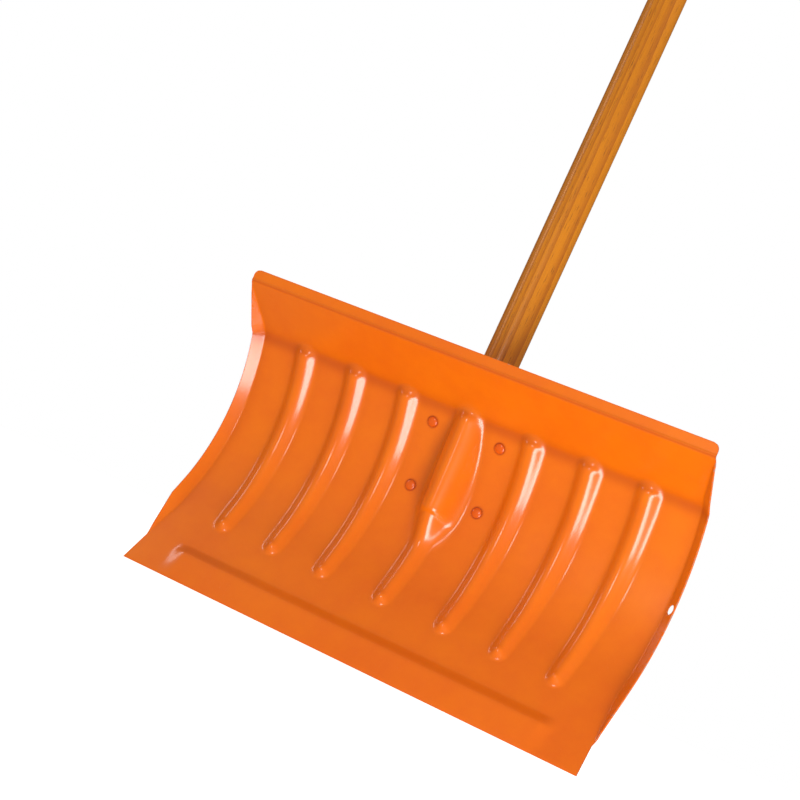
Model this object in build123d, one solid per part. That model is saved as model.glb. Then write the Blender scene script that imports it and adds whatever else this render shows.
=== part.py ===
"""Snow shovel: a pressed steel scoop blade riveted to a socket strap, with a straight wooden pole.

All sizes are in millimetres. The shovel stands on its cutting edge: X runs across the blade, Y runs
from the open front of the scoop to its back, and Z runs up along the pole. The origin is on the ground,
midway across the blade and midway between the front and the back of the whole shovel.

The blade's front face is one line of straight runs and arcs in the YZ plane, walked upwards from the
cutting edge. A station is a distance along that line, an inset is a distance behind the front face, and a
lean is the angle of the line from upright, positive where the face runs backwards as it rises.
"""
from build123d import *
import math
import os

# Blade sheet
BLADE_WIDTH = 460.0           # over the cutting edge and over the top lip
SHEET = 1.2                   # thickness of the blade sheet
LOWER_LENGTH = 91.0           # flat panel from the cutting edge to the belly
LOWER_LEAN = 29.0
BELLY_RADIUS = 160.0          # inside radius of the curved belly
BELLY_END_LEAN = -28.5        # lean of the face where the belly ends
CREASE_RADIUS = 14.0          # bend between the belly and the upper panel
UPPER_LENGTH = 53.8           # flat panel from the crease to the lip
UPPER_LEAN = -54.5
LIP_LENGTH = 12.0
LIP_LEAN = -8.0
LIP_CORNER = 6.0              # radius of the lip's outer corners

# Folded sides
FOLD_INSET = 8.0              # from the side of the blade to the fold line
FOLD_WIDTH = 12.0             # width of the folded flange
FOLD_ANGLE = 44.0             # how far the flange turns forward
FOLD_TOP_RUNOUT = 46.0        # from the top of the full flange to the lip
FOLD_LOW_START = 30.0         # where the flange starts, above the cutting edge
FOLD_LOW_FULL = 75.0          # where the flange has its full width
LOW_CORNER_INSET = 3.0        # how far the side has drawn in where the flange starts

# Stiffening step above the cutting edge
STEP_END_INSET = 34.0         # from the side of the blade to the end of the step
STEP_CREST = 27.0             # from the cutting edge to the crest of the step
STEP_FOOT = 37.0              # from the cutting edge to the foot of the step
STEP_HEIGHT = 2.8

# Pressed ribs
RIB_COUNT_PER_SIDE = 3
RIB_FIRST = 64.0              # from the middle to the first rib
RIB_MARGIN = 47.0             # from the fold line to the outer rib
RIB_RADIUS = 9.0              # outer radius of a rib's round section
RIB_HEIGHT = 6.0              # how far a rib stands in front of the face
RIB_START = 71.0              # station of the lower end
RIB_CREASE_GAP = 4.0          # from the upper end to the end of the belly

# Pole and its tapered tip
POLE_RADIUS = 16.0
POLE_LENGTH = 1200.0
POLE_END_ROUND = 5.0          # rounding of the free end
SEAT_RELIEF = 0.3             # how much thinner the pole is turned inside the socket
SEAT_SHOULDER = 6.0           # from the top of the cradle to the shoulder of the seat
TIP_RADIUS = 10.0             # radius at the point of the taper
TIP_ROUND = 3.0
TAPER_LENGTH = 95.0
POLE_FRONT_OF_BELLY = 9.1     # pole axis in front of the deepest point of the face
TIP_BELOW_RIVETS = 12.0       # tip of the pole below the lower rivets
SOCKET_CLEARANCE = 0.3

# Socket strap behind the blade
STRAP_SHEET = 2.0
STRAP_HALF_WIDTH = 46.0
STRAP_MARGIN = 11.0           # strap beyond the rivet rows, along the face
CRADLE_TOP = 30.0             # cradle above the end of the pole's taper

# Rivets
RIVET_SPREAD = 34.3           # from the middle to each rivet
RIVET_UPPER_GAP = 16.0        # from the upper rivets to the end of the belly
RIVET_ROW_GAP = 59.0          # between the two rows, along the face
RIVET_RADIUS = 2.5
RIVET_HEAD_RADIUS = 4.6
RIVET_HEAD_HEIGHT = 1.6
RIVET_TAIL_RADIUS = 4.0
RIVET_TAIL_HEIGHT = 1.8

# Screw that holds the pole in the cradle
SCREW_RADIUS = 2.2
SCREW_CLEARANCE = 0.25        # in the cradle's hole
SCREW_DEPTH = 20.0            # thread in the wood
SCREW_HEAD_RADIUS = 4.5
SCREW_HEAD_HEIGHT = 2.8
SCREW_SLOT_WIDTH = 1.2
SCREW_SLOT_DEPTH = 1.3
SCREW_ABOVE_TAPER = 12.0      # screw above the end of the taper, on the cylindrical seat

# Hole for hanging the shovel up
HANG_RADIUS = 4.5
HANG_BELOW_CREASE = 86.3      # hole below the end of the belly, along the face, in the middle of the flange

HALF = BLADE_WIDTH / 2
FOLD_X = HALF - FOLD_INSET
ACROSS = Vector(1, 0, 0)


def direction(lean):
    """Unit vector along the face, upwards, where it has this lean."""
    return Vector(0, math.sin(math.radians(lean)), math.cos(math.radians(lean)))


def backward(lean):
    """Unit vector straight out of the blade's back, where the face has this lean."""
    return Vector(0, math.cos(math.radians(lean)), -math.sin(math.radians(lean)))


def walk_face():
    """The runs of the face from the cutting edge to the lip, each with its start, length and arc centre."""
    plan = [
        (LOWER_LENGTH, LOWER_LEAN, LOWER_LEAN),
        (BELLY_RADIUS * math.radians(LOWER_LEAN - BELLY_END_LEAN), LOWER_LEAN, BELLY_END_LEAN),
        (CREASE_RADIUS * math.radians(BELLY_END_LEAN - UPPER_LEAN), BELLY_END_LEAN, UPPER_LEAN),
        (UPPER_LENGTH, UPPER_LEAN, UPPER_LEAN),
    ]
    runs = []
    point = Vector(0, 0, 0)
    start = 0.0
    for length, lean, next_lean in plan:
        run = {"start": start, "end": start + length, "lean": lean, "point": point, "centre": None}
        if lean == next_lean:
            point = point + direction(lean) * length
        else:
            radius = length / math.radians(lean - next_lean)
            run["radius"] = radius
            run["centre"] = point - backward(lean) * radius
            point = run["centre"] + backward(next_lean) * radius
        runs.append(run)
        start += length
    return runs


RUNS = walk_face()
BELLY_START = RUNS[1]["start"]
BELLY_END = RUNS[1]["end"]
LIP_START = RUNS[3]["end"]
FOLD_END = LIP_START - FOLD_TOP_RUNOUT


def lean_at(station):
    """Lean of the face at a station."""
    for run in RUNS:
        if station <= run["end"]:
            break
    if run["centre"] is None:
        return run["lean"]
    return run["lean"] - math.degrees((station - run["start"]) / run["radius"])


def on_face(station, x=0.0, inset=0.0):
    """Point at a station and a place across the blade, so far behind the front face."""
    for run in RUNS:
        if station <= run["end"]:
            break
    lean = lean_at(station)
    if run["centre"] is None:
        point = run["point"] + direction(lean) * (station - run["start"])
    else:
        point = run["centre"] + backward(lean) * run["radius"]
    return point + backward(lean) * inset + ACROSS * x


def plane_across(station):
    """Plane square to the face: its X runs across the blade and its Y runs backwards."""
    return Plane(origin=on_face(station), x_dir=(1, 0, 0), z_dir=direction(lean_at(station)))


def plane_on_face(station):
    """Plane lying on the face: its X runs across the blade and its Y runs up the face."""
    return Plane(origin=on_face(station), x_dir=(1, 0, 0), z_dir=backward(lean_at(station)) * -1)


def follow(sketch, start, end):
    """Solid that a sketch square to the face sweeps out between two stations."""
    pieces = []
    for run in RUNS:
        low = max(start, run["start"])
        high = min(end, run["end"])
        if high - low < 1e-6:
            continue
        section = plane_across(low) * sketch
        if run["centre"] is None:
            pieces.append(extrude(section, amount=high - low, dir=direction(run["lean"])))
        else:
            turn = math.degrees((high - low) / run["radius"])
            pieces.append(revolve(section, axis=Axis(run["centre"], (1, 0, 0)), revolution_arc=turn))
    solid = pieces[0]
    for piece in pieces[1:]:
        solid = solid + piece
    return solid


def slab(width, front, back, start, end):
    """Layer that follows the face, between two insets and two stations, centred on the blade."""
    return follow(Pos(0, (front + back) / 2) * Rectangle(width, back - front), start, end)


def faceted(front_corners, back_corners):
    """Thin solid between two rings of corners, with triangles for its rim."""
    faces = [Face(Wire.make_polygon(front_corners)), Face(Wire.make_polygon(back_corners))]
    count = len(front_corners)
    for i in range(count):
        j = (i + 1) % count
        faces.append(Face(Wire.make_polygon([front_corners[i], front_corners[j], back_corners[j]])))
        faces.append(Face(Wire.make_polygon([front_corners[i], back_corners[j], back_corners[i]])))
    return Solid(Shell(faces))


def fold_corners():
    """Places across the blade and insets of the fold and the flange's edge, on the front and back faces."""
    turn = math.radians(FOLD_ANGLE)
    mitre = SHEET * math.tan(turn / 2)
    reach = FOLD_WIDTH * math.cos(turn)
    rise = FOLD_WIDTH * math.sin(turn)
    fold = (FOLD_X, 0.0)
    edge = (FOLD_X + reach, -rise)
    fold_back = (FOLD_X + mitre, SHEET)
    edge_back = (edge[0] + SHEET * math.sin(turn), edge[1] + SHEET * math.cos(turn))
    return fold, edge, fold_back, edge_back


def trough():
    """Full-width sheet with both folded flanges, where the flanges have their full width."""
    fold, edge, fold_back, edge_back = fold_corners()
    right = [fold, edge, edge_back, fold_back]
    left = [(-x, inset) for x, inset in reversed(right)]
    section = make_face(Polyline(*right, *left, close=True))
    return follow(section, FOLD_LOW_FULL, FOLD_END)


def flat_ends():
    """Flat sheet below and above the flanges, drawn in to the fold lines, and the lip."""
    low_side = HALF - LOW_CORNER_INSET
    low_outline = [(HALF, 0), (low_side, FOLD_LOW_START), (FOLD_X, FOLD_LOW_FULL)]
    low_outline += [(-x, up) for x, up in reversed(low_outline)]
    low = extrude(plane_on_face(0) * make_face(Polyline(*low_outline, close=True)), amount=-SHEET)
    high_outline = [(FOLD_X, 0), (HALF, FOLD_TOP_RUNOUT), (-HALF, FOLD_TOP_RUNOUT), (-FOLD_X, 0)]
    high = extrude(plane_on_face(FOLD_END) * make_face(Polyline(*high_outline, close=True)), amount=-SHEET)
    lip_plane = Plane(origin=on_face(LIP_START), x_dir=(1, 0, 0), z_dir=backward(LIP_LEAN) * -1)
    lip_shape = Pos(0, LIP_LENGTH / 2) * Rectangle(BLADE_WIDTH, LIP_LENGTH)
    lip_shape = fillet(lip_shape.vertices().group_by(Axis.Y)[-1], LIP_CORNER)
    lip = extrude(lip_plane * lip_shape, amount=-SHEET)
    return low + high + lip


def runouts():
    """Triangular facets where the flanges rise out of the flat sheet, at both ends and on both sides."""
    fold, edge, fold_back, edge_back = fold_corners()
    fold_back = (FOLD_X, SHEET)
    ends = [(FOLD_LOW_FULL, FOLD_LOW_START, HALF - LOW_CORNER_INSET), (FOLD_END, LIP_START, HALF)]
    solid = None
    for full, gone, side in ends:
        for hand in (1, -1):
            front = [on_face(full, hand * x, inset) for x, inset in (fold, edge)]
            front.append(on_face(gone, hand * side))
            back = [on_face(full, hand * x, inset) for x, inset in (fold_back, edge_back)]
            back.append(on_face(gone, hand * side, SHEET))
            piece = faceted(front, back)
            solid = piece if solid is None else solid + piece
    return solid


def step_ridge():
    """Stiffening step above the cutting edge: the ridge to add and the hollow to cut behind it."""
    length = BLADE_WIDTH - 2 * STEP_END_INSET
    side_plane = Plane(origin=(-length / 2, 0, 0), x_dir=direction(LOWER_LEAN), z_dir=(1, 0, 0))
    crest = (STEP_CREST, STEP_HEIGHT)
    foot = (STEP_FOOT, 0)
    ridge = make_face(Polyline((0, 0), crest, foot, close=True))
    hollow = make_face(Polyline((0, -SHEET), (STEP_CREST, STEP_HEIGHT - SHEET), (STEP_FOOT, -SHEET), close=True))
    added = extrude(side_plane * ridge, amount=length)
    inner_plane = side_plane.offset(SHEET)
    removed = extrude(inner_plane * hollow, amount=length - 2 * SHEET)
    return added, removed


def round_rib(x, radius, start, end):
    """Round bar along the face at a rib's depth, with ball ends."""
    depth = RIB_RADIUS - RIB_HEIGHT
    bar = follow(Pos(x, depth) * Circle(radius), start, end)
    for station in (start, end):
        bar = bar + Pos(on_face(station, x, depth)) * Sphere(radius)
    return bar


def rib_places():
    """Places of the ribs across the blade, with the middle rib among them."""
    pitch = (FOLD_X - RIB_MARGIN - RIB_FIRST) / (RIB_COUNT_PER_SIDE - 1)
    right = [RIB_FIRST + pitch * i for i in range(RIB_COUNT_PER_SIDE)]
    return [-x for x in reversed(right)] + [0.0] + right


UPPER_RIVETS = BELLY_END - RIVET_UPPER_GAP
LOWER_RIVETS = UPPER_RIVETS - RIVET_ROW_GAP
POLE_Y = on_face(BELLY_START + BELLY_RADIUS * math.radians(LOWER_LEAN)).Y - POLE_FRONT_OF_BELLY
TIP_Z = on_face(LOWER_RIVETS).Z - TIP_BELOW_RIVETS
TAPER_END_Z = TIP_Z + TAPER_LENGTH
CRADLE_TOP_Z = TAPER_END_Z + CRADLE_TOP
SEAT_RADIUS = POLE_RADIUS - SEAT_RELIEF
CRADLE_RADIUS = SEAT_RADIUS + SOCKET_CLEARANCE + STRAP_SHEET
SCREW_Z = TAPER_END_Z + SCREW_ABOVE_TAPER
LIP_TIP = on_face(LIP_START) + direction(LIP_LEAN) * LIP_LENGTH
FRONT_Y = min(0, LIP_TIP.Y)
BACK_Y = POLE_Y + CRADLE_RADIUS + SCREW_HEAD_HEIGHT
TO_ORIGIN = Pos(0, -(FRONT_Y + BACK_Y) / 2, 0)


def seat_shape(grown, top_z):
    """Tapered tip and seat of the pole, grown outwards all over, up to a height."""
    taper = Pos(0, POLE_Y, TIP_Z) * Cone(
        TIP_RADIUS + grown, SEAT_RADIUS + grown, TAPER_LENGTH, align=(Align.CENTER, Align.CENTER, Align.MIN)
    )
    seat = Pos(0, POLE_Y, TAPER_END_Z) * Cylinder(
        SEAT_RADIUS + grown, top_z - TAPER_END_Z, align=(Align.CENTER, Align.CENTER, Align.MIN)
    )
    body = taper + seat
    if grown > 0:
        body = body + Pos(0, POLE_Y, TIP_Z) * Cylinder(
            TIP_RADIUS + grown, grown, align=(Align.CENTER, Align.CENTER, Align.MAX)
        )
    return body


def behind_blade(top_station):
    """Everything close behind the sheet, up to a station."""
    reach = 2 * (CRADLE_RADIUS + POLE_RADIUS)
    return slab(BLADE_WIDTH, SHEET, SHEET + reach, 0, top_station)


def rivet_places():
    """Name, station and place across of each rivet."""
    rows = (("upper", UPPER_RIVETS), ("lower", LOWER_RIVETS))
    sides = (("left", -RIVET_SPREAD), ("right", RIVET_SPREAD))
    return [(f"rivet_{row}_{side}", station, x) for row, station in rows for side, x in sides]


def normal_plane(station, x):
    """Plane at a point of the face whose Z runs straight backwards out of the blade."""
    return Plane(origin=on_face(station, x), x_dir=(1, 0, 0), z_dir=backward(lean_at(station)))


def through_hole(station, x, radius):
    """Bar for cutting a hole square through the sheets at a point of the face."""
    reach = 3 * FOLD_WIDTH
    return normal_plane(station, x) * Cylinder(radius, reach)


def hang_hole():
    """Bar for cutting the hanging hole square through the middle of the right flange."""
    station = BELLY_END - HANG_BELOW_CREASE
    turn = math.radians(FOLD_ANGLE)
    across, rise = FOLD_WIDTH / 2 * math.cos(turn), FOLD_WIDTH / 2 * math.sin(turn)
    centre = on_face(station, FOLD_X + across, -rise)
    axis = backward(lean_at(station)) * math.cos(turn) + ACROSS * math.sin(turn)
    return Plane(origin=centre, z_dir=axis) * Cylinder(HANG_RADIUS, 4 * SHEET)


def screw_plane(y):
    """Plane across the screw whose Z runs backwards out of the pole."""
    return Plane(origin=(0, y, SCREW_Z), x_dir=(1, 0, 0), z_dir=(0, 1, 0))


def make_blade():
    """Pressed blade: panels, flanges, lip, step, ribs and the front half of the pole's socket."""
    sheet = trough() + flat_ends() + runouts()
    added, removed = step_ridge()
    sheet = (sheet + added) - removed
    behind = behind_blade(LIP_START)
    rib_end = BELLY_END - RIB_CREASE_GAP
    for x in rib_places():
        outer = round_rib(x, RIB_RADIUS, RIB_START, rib_end)
        inner = round_rib(x, RIB_RADIUS - SHEET, RIB_START, rib_end)
        sheet = (sheet - inner) + ((outer - inner) - behind)
    socket_top = TAPER_END_Z + POLE_RADIUS
    outer = seat_shape(SOCKET_CLEARANCE + SHEET, socket_top) - behind
    sheet = (sheet + outer) - seat_shape(SOCKET_CLEARANCE, socket_top)
    for name, station, x in rivet_places():
        sheet = sheet - through_hole(station, x, RIVET_RADIUS)
    return sheet - hang_hole()


def make_strap():
    """Socket strap: two riveted wings that follow the blade's back and a half-round cradle behind the pole."""
    low = LOWER_RIVETS - STRAP_MARGIN
    high = UPPER_RIVETS + STRAP_MARGIN
    wings = slab(2 * STRAP_HALF_WIDTH, SHEET, SHEET + STRAP_SHEET, low, high)
    behind = slab(4 * POLE_RADIUS, SHEET, SHEET + 4 * POLE_RADIUS, low, LIP_START)
    cradle = seat_shape(SOCKET_CLEARANCE + STRAP_SHEET, CRADLE_TOP_Z) & behind
    in_front = Pos(0, POLE_Y, on_face(high).Z) * Box(
        4 * POLE_RADIUS, 4 * POLE_RADIUS, 2 * CRADLE_TOP_Z, align=(Align.CENTER, Align.MAX, Align.MIN)
    )
    cradle = cradle - in_front
    strap = (wings + cradle) - seat_shape(SOCKET_CLEARANCE, CRADLE_TOP_Z + POLE_RADIUS)
    for name, station, x in rivet_places():
        strap = strap - through_hole(station, x, RIVET_RADIUS)
    screw_hole = screw_plane(POLE_Y) * Cylinder(
        SCREW_RADIUS + SCREW_CLEARANCE, 2 * CRADLE_RADIUS, align=(Align.CENTER, Align.CENTER, Align.MIN)
    )
    return strap - screw_hole


def make_rivet(station, x):
    """Rivet with a flat domed head in the scoop and its closed tail behind the strap."""
    grip = SHEET + STRAP_SHEET
    seat = RIVET_HEAD_RADIUS ** 2 / (2 * BELLY_RADIUS)
    up = (Align.CENTER, Align.CENTER, Align.MIN)
    down = (Align.CENTER, Align.CENTER, Align.MAX)
    shank = Pos(0, 0, -seat) * Cylinder(RIVET_RADIUS, grip + seat, align=up)
    head = Pos(0, 0, -seat) * Cylinder(RIVET_HEAD_RADIUS, RIVET_HEAD_HEIGHT, align=down)
    head = fillet(head.edges().filter_by(GeomType.CIRCLE).group_by(Axis.Z)[0], RIVET_HEAD_HEIGHT / 2)
    tail = Pos(0, 0, grip) * Cylinder(RIVET_TAIL_RADIUS, RIVET_TAIL_HEIGHT, align=up)
    tail = fillet(tail.edges().filter_by(GeomType.CIRCLE).group_by(Axis.Z)[-1], RIVET_TAIL_HEIGHT / 2)
    return normal_plane(station, x) * (shank + head + tail)


def make_screw():
    """Round-headed wood screw through the back of the cradle into the pole."""
    seat_y = POLE_Y + CRADLE_RADIUS
    up = (Align.CENTER, Align.CENTER, Align.MIN)
    down = (Align.CENTER, Align.CENTER, Align.MAX)
    shank_length = STRAP_SHEET + SOCKET_CLEARANCE + SCREW_DEPTH
    shank = screw_plane(seat_y) * Cylinder(SCREW_RADIUS, shank_length - SCREW_RADIUS, align=down)
    point = screw_plane(seat_y - shank_length) * Cone(0.0, SCREW_RADIUS, SCREW_RADIUS, align=up)
    head = screw_plane(seat_y) * Cylinder(SCREW_HEAD_RADIUS, SCREW_HEAD_HEIGHT, align=up)
    head = fillet(head.edges().filter_by(GeomType.CIRCLE).group_by(Axis.Y)[-1], SCREW_HEAD_HEIGHT * 0.8)
    slot = screw_plane(seat_y + SCREW_HEAD_HEIGHT) * Box(
        3 * SCREW_HEAD_RADIUS, SCREW_SLOT_WIDTH, 2 * SCREW_SLOT_DEPTH
    )
    return (shank + point + head) - slot


def make_pole():
    """Straight turned pole with a tapered tip, a rounded free end and a pilot hole for its screw."""
    up = (Align.CENTER, Align.CENTER, Align.MIN)
    shoulder_z = CRADLE_TOP_Z + SEAT_SHOULDER
    top_z = TIP_Z + POLE_LENGTH
    straight = Pos(0, POLE_Y, shoulder_z) * Cylinder(POLE_RADIUS, top_z - shoulder_z, align=up)
    straight = fillet(straight.edges().filter_by(GeomType.CIRCLE).group_by(Axis.Z)[-1], POLE_END_ROUND)
    seat = seat_shape(0.0, shoulder_z)
    seat = fillet(seat.edges().filter_by(GeomType.CIRCLE).group_by(Axis.Z)[0], TIP_ROUND)
    point_y = POLE_Y + SEAT_RADIUS - SCREW_DEPTH
    point = screw_plane(point_y) * Cone(0.0, SCREW_RADIUS, SCREW_RADIUS, align=up)
    bore = screw_plane(point_y + SCREW_RADIUS) * Cylinder(SCREW_RADIUS, 2 * POLE_RADIUS, align=up)
    return (straight + seat) - (point + bore)


def main():
    """Build every piece and write one STEP file for each."""
    os.makedirs("parts", exist_ok=True)
    pieces = {
        "blade": make_blade(),
        "socket_strap": make_strap(),
        "pole": make_pole(),
        "pole_screw": make_screw(),
    }
    for name, station, x in rivet_places():
        pieces[name] = make_rivet(station, x)
    for name, piece in pieces.items():
        export_step(TO_ORIGIN * piece, f"parts/{name}.step")


main()
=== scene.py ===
"""Snow shovel: the visible pieces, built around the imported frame.

The shovel stands upright on its cutting edge. X runs across the blade, Y runs from the open front of the
scoop to its back, and Z runs up along the pole. All sizes are in metres and all leans and turns in
degrees unless a name says otherwise.

The blade is one pressed sheet. A station is a distance up the sheet's front face from the cutting edge, and
a girth is a distance across the flat sheet from its middle, before the sides were folded.
"""

import logging
import math
from dataclasses import dataclass, field
from enum import Enum

import bmesh
import bpy
import numpy as np
from mathutils import Matrix, Vector


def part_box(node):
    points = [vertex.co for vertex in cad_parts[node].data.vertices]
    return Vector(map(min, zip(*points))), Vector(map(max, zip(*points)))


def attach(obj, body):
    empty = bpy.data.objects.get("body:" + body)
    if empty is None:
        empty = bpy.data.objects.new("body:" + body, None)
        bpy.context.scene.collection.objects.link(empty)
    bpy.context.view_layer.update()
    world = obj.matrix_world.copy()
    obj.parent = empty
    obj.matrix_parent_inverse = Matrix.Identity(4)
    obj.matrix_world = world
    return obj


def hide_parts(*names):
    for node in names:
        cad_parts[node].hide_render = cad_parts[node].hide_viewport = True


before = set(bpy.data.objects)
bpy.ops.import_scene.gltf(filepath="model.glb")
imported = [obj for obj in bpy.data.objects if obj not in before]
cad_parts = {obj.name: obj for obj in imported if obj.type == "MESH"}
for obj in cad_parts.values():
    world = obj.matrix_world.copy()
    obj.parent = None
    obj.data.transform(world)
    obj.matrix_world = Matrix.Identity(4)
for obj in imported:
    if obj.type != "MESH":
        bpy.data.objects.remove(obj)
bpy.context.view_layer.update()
BODY = "root"
Colour = tuple[float, float, float, float]
Pair = tuple[float, float]

logging.basicConfig(level=logging.INFO, format="%(name)s: %(message)s")
log = logging.getLogger("snow_shovel")


class Side(Enum):
    """Side of the blade, as the sign of its X."""

    LEFT = -1
    RIGHT = 1


# Meshes


def mesh_object(name: str, points: np.ndarray, faces: list[tuple[int, ...]]) -> bpy.types.Object:
    """Make an object from points and faces, with its smooth shading on.

    Args:
        name: Name of the object and its mesh.
        points: One row of x, y and z for each point.
        faces: Indices of each face's points, in order.

    Returns:
        The new object, linked to the scene.
    """
    mesh = bpy.data.meshes.new(name)
    mesh.from_pydata([tuple(p) for p in points], [], faces)
    mesh.update()
    piece = bpy.data.objects.new(name, mesh)
    bpy.context.scene.collection.objects.link(piece)
    mesh.shade_smooth()
    return piece


def store(piece: bpy.types.Object, name: str, values: np.ndarray) -> None:
    """Store one number for each point of a piece as an attribute."""
    layer = piece.data.attributes.new(name, "FLOAT", "POINT")
    layer.data.foreach_set("value", np.asarray(values, np.float32))


def settle(piece: bpy.types.Object) -> bpy.types.Object:
    """Turn a piece with modifiers into a plain mesh with its normals outwards.

    Args:
        piece: The piece, whose modifiers are removed.

    Returns:
        The same piece.
    """
    graph = bpy.context.evaluated_depsgraph_get()
    plain = bpy.data.meshes.new_from_object(piece.evaluated_get(graph))
    piece.modifiers.clear()
    old = piece.data
    piece.data = plain
    bpy.data.meshes.remove(old)
    shape = bmesh.new()
    shape.from_mesh(plain)
    bmesh.ops.recalc_face_normals(shape, faces=shape.faces)
    if shape.calc_volume(signed=True) < 0:
        bmesh.ops.reverse_faces(shape, faces=shape.faces)
    shape.to_mesh(plain)
    shape.free()
    plain.shade_smooth()
    return piece


def drop_loose(piece: bpy.types.Object, apart: float = 1e-6) -> None:
    """Delete points that no face uses, and merge points that lie closer together than apart."""
    shape = bmesh.new()
    shape.from_mesh(piece.data)
    bmesh.ops.remove_doubles(shape, verts=shape.verts, dist=apart)
    bmesh.ops.delete(shape, geom=[v for v in shape.verts if not v.link_faces], context="VERTS")
    shape.to_mesh(piece.data)
    shape.free()


def thicken(piece: bpy.types.Object, sheet: float, rounding: float) -> None:
    """Give a surface its thickness behind its faces and round the sheet's edges.

    Args:
        piece: Surface whose faces point to the front.
        sheet: Thickness of the sheet.
        rounding: Size of the rounding along the rim.
    """
    wall = piece.modifiers.new("sheet", "SOLIDIFY")
    wall.thickness = sheet
    wall.offset = -1.0
    wall.use_even_offset = True
    edge = piece.modifiers.new("edge", "BEVEL")
    edge.width = rounding
    edge.segments = 2
    edge.limit_method = "ANGLE"
    edge.angle_limit = math.radians(60)


def graded(low: float, high: float, coarse: float, spots: list[tuple[float, float, float]]) -> np.ndarray:
    """Divide a range into steps that are fine near some places and coarse between them.

    Args:
        low: Start of the range.
        high: End of the range.
        coarse: Largest step.
        spots: For each fine place, its middle, its half width and its step.

    Returns:
        The dividing values, with both ends.
    """
    growth = 0.22
    fine = np.linspace(low, high, 6000)
    step = np.full_like(fine, coarse)
    for middle, half, size in spots:
        beyond = np.maximum(np.abs(fine - middle) - half, 0.0)
        step = np.minimum(step, size + growth * beyond)
    count = np.concatenate([[0.0], np.cumsum((fine[1:] - fine[:-1]) / step[1:])])
    total = int(math.ceil(count[-1]))
    return np.interp(np.linspace(0.0, count[-1], total + 1), count, fine)


def over(values: np.ndarray, blend: float) -> np.ndarray:
    """The greater of each value and zero, with a round blend of this size where they cross."""
    near = np.maximum(blend - np.abs(values), 0.0)
    return np.maximum(values, 0.0) + near ** 2 / (4.0 * blend)


def ramp(values: np.ndarray, low: float, high: float) -> np.ndarray:
    """Smooth step from 0 at low to 1 at high."""
    share = np.clip((values - low) / (high - low), 0.0, 1.0)
    return share * share * (3.0 - 2.0 * share)


def lathe(name: str, outline: list[tuple[float, float]], around: int, place: Matrix) -> bpy.types.Object:
    """Turn an outline round the Z axis into a closed piece.

    Args:
        name: Name of the piece.
        outline: Radius and height of each ring, from one pole to the other. The end radii are zero.
        around: Number of points in each ring.
        place: Where the turned piece goes.

    Returns:
        The piece, with its place in its mesh.
    """
    points = [(0.0, 0.0, outline[0][1])]
    turns = [2.0 * math.pi * k / around for k in range(around)]
    for radius, height in outline[1:-1]:
        points += [(radius * math.cos(a), radius * math.sin(a), height) for a in turns]
    points.append((0.0, 0.0, outline[-1][1]))
    rings = len(outline) - 2
    last = len(points) - 1
    faces: list[tuple[int, ...]] = []
    for k in range(around):
        after = (k + 1) % around
        faces.append((0, 1 + after, 1 + k))
        for ring in range(rings - 1):
            low = 1 + ring * around
            high = low + around
            faces.append((low + k, low + after, high + after, high + k))
        top = 1 + (rings - 1) * around
        faces.append((top + k, top + after, last))
    piece = mesh_object(name, np.array(points), faces)
    piece.data.transform(place)
    return piece


# The line of the blade's face


@dataclass(frozen=True)
class Run:
    """One straight run or arc of the face, with its lean in radians and its curl per metre."""

    start: float
    length: float
    lean: float
    curl: float
    y: float
    z: float


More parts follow.
